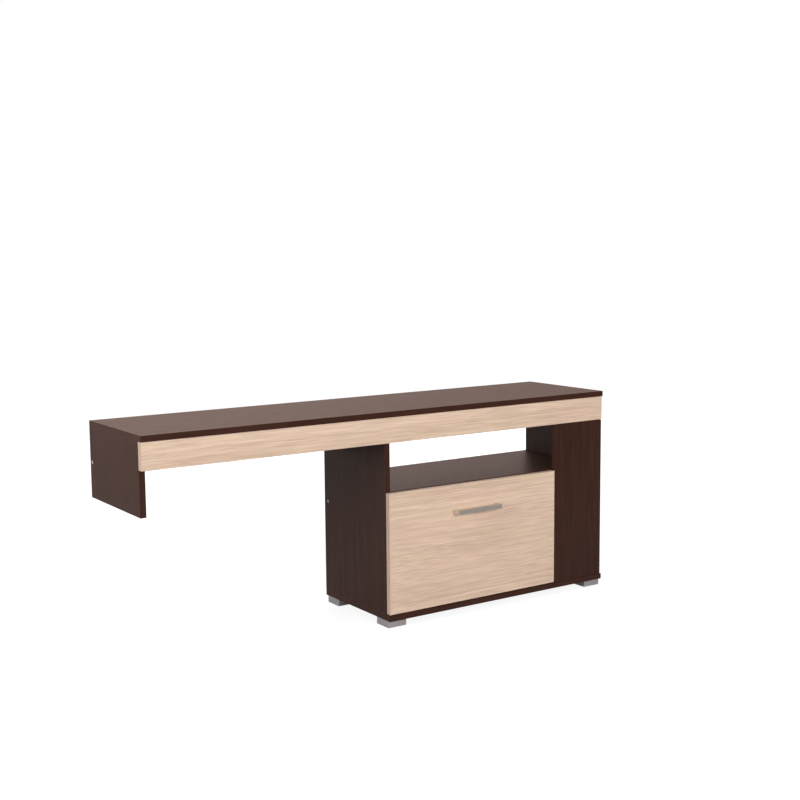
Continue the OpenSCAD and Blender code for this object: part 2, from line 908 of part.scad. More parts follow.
// Long lens that the bridge is cut to: its upper and lower edges fall away to the ends
module handle_lens() {
    steps = 24;
    half = handle_l / 2;
    xs = [for (i = [0 : steps]) half * (2 * i / steps - 1)];
    function edge(x) = handle_h / 2 - handle_bow * pow(x / half, 2);
    upper = [for (x = xs) [x, edge(x)]];
    lower = [for (x = xs) [-x, -edge(x)]];
    translate([0, past, 0])
        rotate([90, 0, 0])
            linear_extrude(handle_reach + 2 * past)
                polygon(concat(upper, lower));
}

module handle() {
    color(silver)
        difference() {
            translate([flap_mid, flap_y, handle_z])
                intersection() {
                    translate([0, 0, -handle_h / 2])
                        linear_extrude(handle_h)
                            handle_bridge();
                    handle_lens();
                }
            screw_holes(handle_spots, handle_screw);
        }
}

module handle_screws() {
    screws(handle_spots, handle_screw);
}

// ---- Hinges ----
// Pressed cup with a winged flange, open to the back of the flap
module hinge_cup() {
    wall = 0.8;
    lip = 1.5;
    lip_d = cup_d + 2 * lip;
    wing_d = 11;
    body_h = cup_depth - cup_play;
    translate([0, board_t, cup_z])
        rotate([90, 0, 0])
            difference() {
                union() {
                    cylinder(d = cup_d, h = body_h);
                    translate([0, 0, -cup_flange_t])
                        cylinder(d = lip_d, h = cup_flange_t);
                    translate([-cup_screw_span / 2, cup_screw_up - wing_d / 2, -cup_flange_t])
                        cube([cup_screw_span, wing_d, cup_flange_t]);
                    for (side = [-1, 1])
                        translate([side * cup_screw_span / 2, cup_screw_up, -cup_flange_t])
                            cylinder(d = wing_d, h = cup_flange_t);
                }
                translate([0, 0, -cup_flange_t - past])
                    cylinder(d = cup_d - 2 * wall, h = body_h - wall + cup_flange_t + past);
            }
}

module hinge_cups() {
    color(steel)
        difference() {
            for (x = hinge_xs)
                at_axis(x)
                    hinge_cup();
            screw_holes(cup_screw_spots, cup_screw);
        }
}

module hinge_cup_screws() {
    screws(cup_screw_spots, cup_screw);
}

// Heights above the hinge axis; the bottom board's top lies at -flap_lift
arm_w = 15;
arm_wall = 1.4;
arm_roof = 8;
arm_end = 78;
spine_w = arm_w - 2 * arm_wall;
spine_past_plate = 2;
spine_y = plate_line - flap_y + spine_past_plate;
spine_l = 32;
arm_screw_l = 6;
arm_screw = [stout_screw_d, arm_screw_l];
arm_screw_steps = [8, 24];
arm_screw_spots = [
    for (x = hinge_xs)
        for (step = arm_screw_steps)
            [[x, flap_y + spine_y + step, flap_z + arm_roof + arm_wall], out_up]
];

// Mounting plate: a pair of screwed wings and the spine that carries the arm
module hinge_plate() {
    wing_w = plate_screw_span + 14;
    wing_d = 14;
    translate([-wing_w / 2, plate_line - flap_y - wing_d / 2, -flap_lift])
        cube([wing_w, wing_d, plate_t]);
    translate([-spine_w / 2, spine_y, -flap_lift])
        cube([spine_w, spine_l, arm_roof + flap_lift]);
}

module hinge_plates() {
    color(steel)
        difference() {
            for (x = hinge_xs)
                at_axis(x)
                    hinge_plate();
            screw_holes(plate_screw_spots, plate_screw);
            screw_holes(arm_screw_spots, arm_screw);
        }
}

module hinge_plate_screws() {
    screws(plate_screw_spots, plate_screw);
}

// Cranked arm: a channel over the plate's spine that rises to a nose in the cup's mouth
module hinge_arm() {
    nose_y = cup_depth - 1.5;
    nose_low = cup_z - 5;
    nose_top = cup_z + 5;
    roof_top = arm_roof + arm_wall;
    skirt_z = plate_t - flap_lift + 0.5;
    nose_l = 8;
    crown_l = 15;
    crown_drop = 4;
    roof_slope = 3;
    step_l = 4;
    difference() {
        translate([-arm_w / 2, 0, 0])
            rotate([90, 0, 90])
                linear_extrude(arm_w)
                    polygon([
                        [nose_y, nose_low], [nose_y, nose_top],
                        [board_t + nose_l, nose_top],
                        [board_t + crown_l, nose_top - crown_drop],
                        [spine_y - step_l / 2, roof_top + roof_slope],
                        [spine_y + step_l, roof_top], [arm_end, roof_top],
                        [arm_end, skirt_z], [spine_y - step_l, skirt_z],
                        [board_t + nose_l, nose_low]
                    ]);
        translate([-spine_w / 2, spine_y, skirt_z - past])
            cube([spine_w, arm_end, arm_roof - skirt_z + past]);
        for (side = [-1, 1])
            translate([side * (arm_w - arm_wall) - arm_w / 2, 0, nose_low - past])
                cube([arm_w, board_t + 2, nose_top]);
    }
}

module hinge_arms() {
    color(steel)
        difference() {
            for (x = hinge_xs)
                at_axis(x)
                    hinge_arm();
            screw_holes(arm_screw_spots, arm_screw);
        }
}

module hinge_arm_screws() {
    screws(arm_screw_spots, arm_screw);
}

// ---- Flap stay ----
// A flat strip from one pivot to the other in the plane across the hinge axis
module strip(from, to, x) {
    run = to - from;
    translate([x, from[0], from[1]])
        rotate([atan2(run[1], run[0]), 0, 0]) {
            for (along = [0, norm(run)])
                translate([0, along, 0])
                    rotate([0, 90, 0])
                        cylinder(d = link_w, h = link_t);
            translate([0, 0, -link_w / 2])
                cube([link_t, norm(run), link_w]);
        }
}

module pivot_hole(at_pivot) {
    translate([-past, at_pivot[0], at_pivot[1]])
        rotate([0, 90, 0])
            cylinder(d = rivet_d + 2 * fit, h = ear_x + link_t + 2 * past);
}

module link(from, to, x) {
    difference() {
        strip(from, to, x);
        pivot_hole(from);
        pivot_hole(to);
    }
}

// Rivet from x = first to x = last, with a head past each end that has one
module rivet(at_pivot, first, last, heads) {
    head_d = rivet_d + 4;
    head_t = 1;
    translate([0, at_pivot[0], at_pivot[1]])
        rotate([0, 90, 0]) {
            translate([0, 0, first])
                cylinder(d = rivet_d, h = last - first);
            for (h = heads)
                translate([0, 0, h < 0 ? first - head_t : last])
                    cylinder(d = head_d, h = head_t);
        }
}

module stay_side_bracket() {
    tail = side_pivot + [bracket_screw_steps[1], 0];
    color(steel)
        difference() {
            at_axis(inner_l)
                difference() {
                    strip(side_pivot, tail, 0);
                    pivot_hole(side_pivot);
                }
            screw_holes(bracket_screw_spots, stay_screw);
        }
}

module stay_side_rivet() {
    color(zinc)
        at_axis(inner_l)
            rivet(side_pivot, 0, lower_x + link_t + head_gap, [1]);
}

module stay_lower_link() {
    color(steel)
        at_axis(inner_l)
            link(side_pivot, elbow, lower_x);
}

module stay_elbow_rivet() {
    color(zinc)
        at_axis(inner_l)
            rivet(elbow, lower_x, upper_x + link_t + head_gap, [-1, 1]);
}

module stay_upper_link() {
    color(steel)
        at_axis(inner_l)
            link(flap_pivot, elbow, upper_x);
}

module stay_door_rivet() {
    color(zinc)
        at_axis(inner_l)
            rivet(flap_pivot, upper_x - head_gap, ear_x + link_t, [-1, 1]);
}

// Angle bracket: a plate screwed to the flap and an ear that carries the pivot
module stay_door_bracket() {
    color(steel)
        difference() {
            at_axis(inner_l)
                difference() {
                    union() {
                        translate([ear_x, board_t, flap_pivot[1] - door_bracket_h / 2])
                            cube([door_bracket_w, link_t, door_bracket_h]);
                        translate([ear_x, board_t, flap_pivot[1] - link_w / 2])
                            cube([link_t, flap_pivot_back, link_w]);
                        translate([ear_x, flap_pivot[0], flap_pivot[1]])
                            rotate([0, 90, 0])
                                cylinder(d = link_w, h = link_t);
                    }
                    pivot_hole(flap_pivot);
                }
            screw_holes(door_screw_spots, stay_screw);
        }
}

module stay_bracket_screws() {
    screws(bracket_screw_spots, stay_screw);
}

module stay_door_screws() {
    screws(door_screw_spots, stay_screw);
}

// ---- Magnetic catch ----
magnet_w = 24;
magnet_h = 7;
magnet_wall = 3;

module catch_magnet() {
    color(zinc)
        translate([flap_mid - magnet_w / 2, carcass_y, shelf_z - catch_h + magnet_wall])
            cube([magnet_w, catch_d - magnet_wall, magnet_h]);
}

module catch_housing() {
    body_w = magnet_w + 2 * magnet_wall;
    color(moulding)
        difference() {
            translate([flap_mid, carcass_y, shelf_z])
                union() {
                    translate([-catch_w / 2, 0, -catch_flange_t])
                        cube([catch_w, catch_d, catch_flange_t]);
                    translate([-body_w / 2, 0, -catch_h])
                        cube([body_w, catch_d, catch_h]);
                }
            translate([flap_mid - magnet_w / 2, carcass_y - past, shelf_z - catch_h + magnet_wall])
                cube([magnet_w, catch_d - magnet_wall + past, magnet_h]);
            screw_holes(catch_screw_spots, catch_screw);
        }
}

module catch_screws() {
    screws(catch_screw_spots, catch_screw);
}

module strike_holes() {
    for (s = strike_spots)
        at(s)
            sunk_screw_form(strike_screw_size, fit + strike_sink);
}

module strike_plate() {
    color(steel)
        difference() {
            translate([flap_mid - strike_w / 2, flap_back_y, strike_z - strike_h / 2])
                cube([strike_w, strike_t, strike_h]);
            strike_holes();
        }
}

module strike_screw() {
    color(steel)
        for (s = strike_spots)
            at(s)
                difference() {
                    sunk_screw_form(strike_screw_size, 0);
                    cross_recess(head_d(strike_screw_size) / 2);
                }
}

in_frame() top_board();
in_frame() front_rail();
in_frame() left_end_panel();
in_frame() cabinet_left_side();
in_frame() cabinet_right_side();
in_frame() bottom_board();
in_frame() niche_shelf();
in_frame() lower_partition();
in_frame() side_front_panel();
in_frame() bridge_stretcher();
in_frame() cabinet_stretcher();
in_frame() back_panel();
in_frame() foot_front_left();
in_frame() foot_front_right();
in_frame() foot_rear_left();
in_frame() foot_rear_right();
in_frame() foot_screws();
in_frame() cam_locks();
in_frame() cam_bolts();
in_frame() wood_dowels();
in_frame() stretcher_screws();
in_frame() screw_caps();
in_frame() rail_blocks();
in_frame() rail_block_screws();
in_frame() flap_door();
in_frame() handle();
in_frame() handle_screws();
in_frame() hinge_cups();
in_frame() hinge_cup_screws();
in_frame() hinge_plates();
in_frame() hinge_plate_screws();
in_frame() hinge_arms();
in_frame() hinge_arm_screws();
in_frame() stay_side_bracket();
in_frame() stay_side_rivet();
in_frame() stay_lower_link();
in_frame() stay_elbow_rivet();
in_frame() stay_upper_link();
in_frame() stay_door_rivet();
in_frame() stay_door_bracket();
in_frame() stay_bracket_screws();
in_frame() stay_door_screws();
in_frame() catch_housing();
in_frame() catch_magnet();
in_frame() catch_screws();
in_frame() strike_plate();
in_frame() strike_screw();
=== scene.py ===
"""Dresses the low television stand: banded boards, turned fasteners, hinges, flap stay,
handle and feet, each with its own finish, on a plain pale floor under soft light."""

import json
import math

import bpy
from mathutils import Matrix, Vector


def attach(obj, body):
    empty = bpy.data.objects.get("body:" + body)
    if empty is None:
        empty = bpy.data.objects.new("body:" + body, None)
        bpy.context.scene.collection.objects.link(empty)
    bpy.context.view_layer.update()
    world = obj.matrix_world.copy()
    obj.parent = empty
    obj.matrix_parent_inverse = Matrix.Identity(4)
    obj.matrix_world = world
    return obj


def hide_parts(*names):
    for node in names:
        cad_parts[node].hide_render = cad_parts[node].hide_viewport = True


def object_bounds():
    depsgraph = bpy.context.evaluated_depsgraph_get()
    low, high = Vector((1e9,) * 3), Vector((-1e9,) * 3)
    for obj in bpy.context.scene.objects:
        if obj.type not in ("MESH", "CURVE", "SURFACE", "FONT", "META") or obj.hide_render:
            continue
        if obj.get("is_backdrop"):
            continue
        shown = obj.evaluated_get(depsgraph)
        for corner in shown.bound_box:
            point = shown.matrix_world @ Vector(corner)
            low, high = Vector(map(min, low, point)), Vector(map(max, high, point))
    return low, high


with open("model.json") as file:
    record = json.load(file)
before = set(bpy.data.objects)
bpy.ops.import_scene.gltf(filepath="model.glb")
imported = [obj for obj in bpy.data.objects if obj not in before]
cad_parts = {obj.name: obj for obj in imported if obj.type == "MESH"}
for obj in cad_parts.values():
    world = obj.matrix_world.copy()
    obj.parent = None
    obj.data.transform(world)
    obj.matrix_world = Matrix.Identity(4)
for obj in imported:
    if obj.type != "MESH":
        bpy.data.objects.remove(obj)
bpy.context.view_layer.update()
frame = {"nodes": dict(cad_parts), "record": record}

bl_info = {
    "name": "Television Stand Dresser",
    "version": (1, 0, 0),
    "blender": (4, 5, 0),
    "location": "View3D > Sidebar > Stand",
    "description": "Dresses the frame of a low television stand: boards, fittings and finishes",
    "category": "Object",
}

MM = 0.001
AXES = (0, 1, 2)
X, Y, Z = AXES
TOLERANCE = 0.01 * MM  # points and planes nearer than this coincide
FLAT = math.radians(0.2)  # facets that turn less than this are one face
CURVED = math.radians(32)  # faces that turn less than this are shaded as one
CORNER = math.radians(35)  # edges that turn more than this are rounded

FACING = 0.7  # a face whose normal has this much of an axis looks along that axis

# How much of the bands' outer radius an edge gets: a band's own outer edge, one where the
# band meets the board, and a bare sawn one
OUTER, JOINT, SAWN = 1.0, 0.12, 0.4

# Dowels, in metres, with the depth of a flute as a share of the radius
DOWEL_RADIUS = 4 * MM
DOWEL_CHAMFER = 1.0 * MM
DOWEL_FLUTES = 18
FLUTE_DEPTH = 0.07

# Threads: how deep the ridge is rooted in the shank, half the ridge's width as a share of
# the pitch, the steps in a turn, and the chamfer of a screw's sharp edges
THREAD_ROOT = 0.08 * MM
THREAD_FLANK = 0.38
THREAD_STEPS = 12
SCREW_CHAMFER = 0.12 * MM
HEAD_SHARE = 0.12  # of a screw's length, at each end, in which its girth is measured

# Stage: how bright the floor is in what mirrors it, its brightness from one distance to
# another, and the colour of the world in what mirrors it
SENSOR_WIDTH = 36
FLOOR_RADIUS = 9
FLOOR_GAP = 0.2 * MM
FLOOR_MIRRORED = 0.2
FLOOR_FADE = (0.6, 2.6, 0.88, 1.0)
MIRRORED_TINT = (1, 0.79, 0.71)

# Each board: the axis of its thickness, the axis of its grain, and its banded edges
# as (axis, end), where end 0 is the low side and 1 the high one
BOARDS = {
    "top_board": (Z, X, [(Y, 0), (Y, 1), (X, 0), (X, 1)]),
    "front_rail": (Y, X, [(Z, 0), (Z, 1), (X, 0), (X, 1)]),
    "left_end_panel": (X, Z, [(Y, 0), (Y, 1), (Z, 0)]),
    "cabinet_left_side": (X, Z, [(Y, 0), (Y, 1)]),
    "cabinet_right_side": (X, Z, [(Y, 0), (Y, 1)]),
    "bottom_board": (Z, X, [(Y, 0), (Y, 1), (X, 0), (X, 1)]),
    "niche_shelf": (Z, X, [(Y, 0), (Y, 1)]),
    "lower_partition": (X, Z, [(Y, 0)]),
    "side_front_panel": (Y, Z, [(Z, 0), (Z, 1), (X, 0), (X, 1)]),
    "bridge_stretcher": (Y, X, [(Z, 0)]),
    "cabinet_stretcher": (Y, X, [(Z, 0)]),
    "flap_door": (Y, X, [(Z, 0), (Z, 1), (X, 0), (X, 1)]),
}
LIGHT_BOARDS = ("front_rail", "flap_door")

# Threaded fasteners: the shank's diameter, the thread's height and pitch, and where the
# thread starts and ends, counted from the tip, in millimetres
THREADS = {
    "foot_screws": (3.5, 0.4, 1.6, 1.8, 14.5),
    "rail_block_screws": (3.5, 0.4, 1.6, 1.8, 11.0),
    "handle_screws": (4.0, 0.25, 0.9, 1.0, 12.0),
    "hinge_cup_screws": (3.5, 0.4, 1.6, 1.8, 10.5),
    "hinge_plate_screws": (4.0, 0.4, 1.8, 2.0, 10.5),
    "hinge_arm_screws": (4.0, 0.25, 0.9, 1.0, 5.0),
    "stay_bracket_screws": (3.5, 0.4, 1.6, 1.8, 10.0),
    "stay_door_screws": (3.5, 0.4, 1.6, 1.8, 10.0),
    "catch_screws": (3.0, 0.35, 1.4, 1.5, 9.0),
    "strike_screw": (3.0, 0.35, 1.4, 1.5, 9.0),
    "stretcher_screws": (5.0, 0.8, 3.0, 2.5, 33.0),
    "cam_bolts": (5.0, 0.5, 1.8, 0.9, 10.4),
}

BODY_OF = {
    node: body
    for body, nodes in frame["record"]["behaviour"]["bodies"].items()
    for node in nodes
}
SLOT_OF = {part["node"]: part["material_slot"] for part in frame["record"]["subparts"]}


# ---- Settings ----


class StandLook(bpy.types.PropertyGroup):
    """Colours of the boards and fittings."""

    dark: bpy.props.FloatVectorProperty(
        name="Dark board",
        description="Colour of the dark laminate",
        subtype="COLOR",
        size=3,
        min=0,
        max=1,
        default=(0.0385, 0.0130, 0.0070),
    )
    dark_streak: bpy.props.FloatVectorProperty(
        name="Dark board streak",
        description="Colour of the pale streaks in the dark laminate",
        subtype="COLOR",
        size=3,
        min=0,
        max=1,
        default=(0.056, 0.0210, 0.0128),
    )
    light: bpy.props.FloatVectorProperty(
        name="Light board",
        description="Colour of the light laminate",
        subtype="COLOR",
        size=3,
        min=0,
        max=1,
        default=(0.765, 0.575, 0.435),
    )
    light_streak: bpy.props.FloatVectorProperty(
        name="Light board streak",
        description="Colour of the dark streaks in the light laminate",
        subtype="COLOR",
        size=3,
        min=0,
        max=1,
        default=(0.60, 0.425, 0.305),
    )


class StandMake(bpy.types.PropertyGroup):
    """Sizes of the edge bands and of the softened edges."""

    band: bpy.props.FloatProperty(
        name="Edge band",
        description="Thickness of the bands on the boards' edges",
        subtype="DISTANCE",
        unit="LENGTH",
        default=1.2 * MM,
        min=0.4 * MM,
        max=2 * MM,
    )
    arris: bpy.props.FloatProperty(
        name="Band radius",
        description="Radius of the bands' outer edges",
        subtype="DISTANCE",
        unit="LENGTH",
        default=0.8 * MM,
        min=0.2 * MM,
        max=1.2 * MM,
    )


class StandStudio(bpy.types.PropertyGroup):
    """Camera and light."""

    eye: bpy.props.FloatVectorProperty(
        name="Camera place",
        description="Where the camera stands",
        subtype="TRANSLATION",
        unit="LENGTH",
        size=3,
        default=(-1.9125, -2.9909, 1.0592),
    )
    heading: bpy.props.FloatProperty(
        name="Heading",
        description="Turn of the view to the right of straight back",
        subtype="ANGLE",
        unit="ROTATION",
        default=math.radians(34.056),
    )
    tilt: bpy.props.FloatProperty(
        name="Tilt",
        description="Tilt of the view above the horizon",
        subtype="ANGLE",
        unit="ROTATION",
        default=math.radians(-7.051),
    )
    roll: bpy.props.FloatProperty(
        name="Roll",
        description="Turn of the camera about its line of sight",
        subtype="ANGLE",
        unit="ROTATION",
        default=math.radians(-0.512),
    )
    lens: bpy.props.FloatProperty(
        name="Lens",
        description="Focal length on a 36 mm sensor",
        subtype="DISTANCE_CAMERA",
        unit="CAMERA",
        default=56.92,
        min=10,
        max=200,
    )
    ambient: bpy.props.FloatProperty(
        name="Ambient",
        description="Strength of the light from all round",
        default=0.04,
        min=0,
        max=1,
    )
    front: bpy.props.FloatProperty(
        name="Front lamp",
        description="Power of the large lamp in front",
        subtype="POWER",
        unit="POWER",
        default=133,
        min=0,
        max=1000,
    )
    side: bpy.props.FloatProperty(
        name="Side lamp",
        description="Power of the large lamp at the left",
        subtype="POWER",
        unit="POWER",
        default=126,
        min=0,
        max=1000,
    )
    overhead: bpy.props.FloatProperty(
        name="Overhead lamp",
        description="Power of the large lamp above",
        subtype="POWER",
        unit="POWER",
        default=50,
        min=0,
        max=1000,
    )
    back: bpy.props.FloatProperty(
        name="Back lamp",
        description="Power of the large lamp behind, at the right",
        subtype="POWER",
        unit="POWER",
        default=125,
        min=0,
        max=1000,
    )


# ---- Shader arithmetic ----


class Value:
    """A shader socket that takes part in Python arithmetic by adding Math nodes."""

    def __init__(self, shading, socket):
        self.shading = shading
        self.socket = socket

    def math(self, operation, *terms):
        return self.shading.add("Math", dict(enumerate(terms)), operation=operation)

    def __add__(self, other):
        return self.math("ADD", self, other)

    def __sub__(self, other):
        return self.math("SUBTRACT", self, other)

    def __mul__(self, other):
        return self.math("MULTIPLY", self, other)

    def __rsub__(self, other):
        return self.math("SUBTRACT", other, self)

    __radd__ = __add__
    __rmul__ = __mul__

    def ramp(self, low, high, least=0, most=1):
        """The least below low, the most above high, with a smooth step between."""
        ends = {"From Min": low, "From Max": high, "To Min": least, "To Max": most}
        return self.shading.add(
            "MapRange", {"Value": self} | ends, interpolation_type="SMOOTHSTEP"
        )


class Shading:
    """The node tree of a material or a world."""

    def __init__(self, owner):
        owner.use_nodes = True
        self.tree = owner.node_tree
        self.tree.nodes.clear()

    def add(self, kind, inputs=None, output=0, **settings):
        """Adds a node: its settings come first, then the values or links of its sockets."""
        node = self.tree.nodes.new("ShaderNode" + kind)
        for name, setting in settings.items():
            setattr(node, name, setting)
        for key, value in (inputs or {}).items():
            self.feed(node.inputs[key], value)
        return Value(self, node.outputs[output])

    def feed(self, socket, value):
        if isinstance(value, Value):
            self.tree.links.new(value.socket, socket)
        elif socket.type == "RGBA" and len(value) == 3:
            socket.default_value = (*value, 1)
        else:
            socket.default_value = value

    def mix(self, factor, first, second):
        inputs = {0: factor, 6: first, 7: second}
        return self.add("Mix", inputs, output=2, data_type="RGBA")

    def show(self, kind, shader):
        """Makes a shader the output of the tree."""
        self.feed(self.tree.nodes.new("ShaderNodeOutput" + kind).inputs["Surface"], shader)


class Finish(Shading):
    """A material built on one Principled shader."""

    def __init__(self, name):
        self.material = bpy.data.materials.new(name)
        super().__init__(self.material)
        self.surface = self.tree.nodes.new("ShaderNodeBsdfPrincipled")
        self.show("Material", Value(self, self.surface.outputs["BSDF"]))
        self.place = self.add("TexCoord", output="Object")

    def set(self, **inputs):
        """Feeds the Principled shader: base_color goes to its socket Base Color."""
        sockets = {socket.name.lower().replace(" ", "_"): socket for socket in self.surface.inputs}
        for name, value in inputs.items():
            self.feed(sockets[name], value)

    def stretched(self, sizes, start=(0, 0, 0), place=None):
        """Object coordinates, or others, counted in steps of the given sizes along x, y, z."""
        inputs = {"Vector": place or self.place, "Location": start}
        return self.add("Mapping", inputs | {"Scale": [1 / size for size in sizes]})

    def noise(self, vector, detail=2, roughness=0.5, distortion=0):
        inputs = {"Vector": vector, "Scale": 1, "Detail": detail, "Roughness": roughness}
        return self.add("TexNoise", inputs | {"Distortion": distortion}, output="Fac")

    def bump(self, height, depth):
        inputs = {"Height": height, "Distance": depth, "Strength": 1}
        self.feed(self.surface.inputs["Normal"], self.add("Bump", inputs))

    def edge(self, radius):
        """1 where a surface turns within the radius, as at an edge, and 0 on the flat."""
        rounded = self.add("Bevel", {"Radius": radius}, samples=4)
        plain = self.add("NewGeometry", output="Normal")
        likeness = self.add(
            "VectorMath", {0: rounded, 1: plain}, output="Value", operation="DOT_PRODUCT"
        )
        return (1 - likeness).ramp(0.01, 0.25)


def along(axis, length, width):
    """Sizes of a pattern that runs along one axis."""
    return [length if i == axis else width for i in AXES]


def toned(colour, factor):
    """A colour made darker or brighter."""
    return tuple(min(part * factor, 1) for part in colour)


# ---- Finishes ----

finishes = {}


def wood_grain(finish, axis, start, bend, sway):
    """A function that makes streaks along an axis, swayed by a slow drift of the bend's sizes."""
    drift = finish.noise(finish.stretched(along(axis, *bend), start), 1)
    shift = finish.add("CombineXYZ", {i: drift * sway for i in AXES})
    swayed = finish.add("VectorMath", {0: finish.place, 1: shift}, operation="ADD")

    def grain(length, width, detail):
        sizes = along(axis, length, width)
        return finish.noise(finish.stretched(sizes, start, swayed), detail, 0.6)

    return grain


def dark_laminate(axis, start):
    """Dark brown wood-grain laminate with fine grooved pores, satin."""
    look = bpy.context.scene.stand_look
    finish = Finish("dark_laminate_" + "xyz"[axis])
    grain = wood_grain(finish, axis, start, (420 * MM, 60 * MM), 6 * MM)
    bands = grain(520 * MM, 16 * MM, 2)
    streaks = grain(190 * MM, 2.6 * MM, 2)
    pores = grain(26 * MM, 0.7 * MM, 1).ramp(0.54, 0.70)
    pale = bands.ramp(0.36, 0.66) * 0.5 + streaks.ramp(0.42, 0.62) * 0.5
    deep = toned(look.dark, 0.55)
    colour = finish.mix(pale, look.dark, look.dark_streak)
    colour = finish.mix((1 - streaks).ramp(0.50, 0.64) * 0.7, colour, deep)
    colour = finish.mix(pores * 0.55, colour, deep)
    # Rounded edges painted paler: a painted highlight along the arris, partly edge wear
    edge = finish.edge(0.7 * MM)
    edge_highlight_and_wear = toned(look.dark_streak, 1.6)
    colour = finish.mix(edge * (0.2 + streaks * 0.4), colour, edge_highlight_and_wear)
    finish.set(
        base_color=colour,
        roughness=0.34 + streaks * 0.10 + pores * 0.16 + edge * 0.05,
        specular_ior_level=0.3,
    )
    finish.bump(streaks * 0.3 - pores, 0.05 * MM)
    return finish.material


def light_laminate(axis, start):
    """Pale oak wood-grain laminate: broad soft figure, fine lines and short pores."""
    look = bpy.context.scene.stand_look
    finish = Finish("light_laminate_" + "xyz"[axis])
    grain = wood_grain(finish, axis, start, (900 * MM, 200 * MM), 34 * MM)
    figure = grain(1100 * MM, 15 * MM, 1)
    lines = grain(420 * MM, 4.6 * MM, 0)
    hair = grain(110 * MM, 1.7 * MM, 1)
    pores = grain(16 * MM, 0.6 * MM, 1).ramp(0.60, 0.74)
    warmth = finish.noise(finish.stretched(along(axis, 420 * MM, 90 * MM), start), 1)
    calm = finish.noise(finish.stretched(along(axis, 500 * MM, 110 * MM), start), 0)
    pink = (look.light[0], look.light[1] * 0.965, look.light[2] * 1.01)
    bright = toned(look.light, 1.12)
    colour = finish.mix(warmth.ramp(0.40, 0.62), look.light, pink)
    figured = calm.ramp(0.38, 0.60) * 0.50 + 0.10
    colour = finish.mix(figure.ramp(0.40, 0.62) * figured, colour, look.light_streak)
    colour = finish.mix((1 - figure).ramp(0.50, 0.66) * figured, colour, bright)
    colour = finish.mix(lines.ramp(0.44, 0.64) * 0.20, colour, look.light_streak)
    colour = finish.mix(hair.ramp(0.48, 0.58) * 0.50, colour, look.light_streak)
    colour = finish.mix((1 - hair).ramp(0.50, 0.60) * 0.52, colour, bright)
    colour = finish.mix(pores * 0.30, colour, look.light_streak)
    # Rounded edges painted brighter: a painted highlight along the arris, partly edge wear
    edge = finish.edge(0.9 * MM)
    colour = finish.mix(edge * (0.4 + lines * 0.4), colour, bright)
    finish.set(
        base_color=colour,
        roughness=0.42 + lines * 0.10 + pores * 0.12 + edge * 0.05,
        specular_ior_level=0.3,
    )
    finish.bump(hair * 0.4 - pores, 0.05 * MM)
    return finish.material


def band_finish(name, colour, streak, edge_highlight_and_wear):
    """Edge band: finer and plainer than the laminate, a little paler where it is rounded, a
    painted highlight there that is partly edge wear.
    """
    finish = Finish(name)
    drift = finish.noise(finish.stretched([90 * MM] * 3), 1)
    speckle = finish.noise(finish.stretched([2.2 * MM] * 3), 2)
    edge = finish.edge(0.9 * MM)
    base = finish.mix(drift.ramp(0.3, 0.7) * 0.5 + speckle * 0.3, colour, streak)
    # Paler where rounded: a painted highlight along the arris, partly edge wear
    base = finish.mix(edge * (0.35 + speckle * 0.3), base, edge_highlight_and_wear)
    finish.set(
        base_color=base,
        roughness=0.36 + speckle * 0.1 + edge * 0.06,
        specular_ior_level=0.3,
    )
    finish.bump(speckle, 0.02 * MM)
    return finish.material


def chipboard():
    """Raw chipboard in bores and grooves and on edges with no band."""
    finish = Finish("raw_chipboard")
    chips = finish.add(
        "TexVoronoi", {"Vector": finish.stretched([2.4 * MM] * 3), "Scale": 1}, output="Color"
    )
    shade = finish.add("SeparateColor", {"Color": chips}, output=0)
    dust = finish.noise(finish.stretched([0.8 * MM] * 3), 3)
    edge = finish.edge(0.6 * MM)
    colour = finish.mix(shade, (0.40, 0.27, 0.15), (0.62, 0.46, 0.29))
    colour = finish.mix(dust * 0.4, colour, (0.30, 0.20, 0.11))
    colour = finish.mix(edge * dust, colour, (0.72, 0.56, 0.38))
    finish.set(base_color=colour, roughness=0.78 + dust * 0.14)
    finish.bump(shade * 0.5 + dust * 0.5, 0.25 * MM)
    return finish.material


def metal(name, colour, dull, roughness, brushed=None, metallic=1.0):
    """Metal with a fine brushed or tumbled grain, dulled in patches, with a painted highlight on
    its edges.
    """
    finish = Finish(name)
    sizes = along(brushed, 30 * MM, 0.25 * MM) if brushed is not None else [0.5 * MM] * 3
    grain = finish.noise(finish.stretched(sizes), 2)
    patches = finish.noise(finish.stretched([14 * MM] * 3), 2)
    edge = finish.edge(0.5 * MM)
    base = finish.mix(patches.ramp(0.35, 0.75) * 0.5 + grain * 0.25, colour, dull)
    # Edges painted brighter: painted highlight
    base = finish.mix(edge * 0.5, base, toned(colour, 1.25))
    finish.set(
        base_color=base,
        metallic=metallic,
        roughness=roughness + grain * 0.12 + patches * 0.06 - edge * 0.05,
    )
    finish.bump(grain, 0.012 * MM)
    return finish.material


def moulded(name, colour, roughness):
    """Moulded plastic: a fine spark-eroded texture, faint flow marks and a painted highlight on
    its edges.
    """
    finish = Finish(name)
    texture = finish.noise(finish.stretched([0.35 * MM] * 3), 2)
    flow = finish.noise(finish.stretched([22 * MM] * 3), 2, distortion=0.8)
    edge = finish.edge(0.7 * MM)
    base = finish.mix(flow.ramp(0.35, 0.7) * 0.6, colour, toned(colour, 0.86))
    # Edges painted lighter: painted highlight
    base = finish.mix(edge * (0.3 + texture * 0.3), base, toned(colour, 1.22))
    finish.set(base_color=base, roughness=roughness + texture * 0.12 - edge * 0.08)
    finish.bump(texture, 0.02 * MM)
    return finish.material


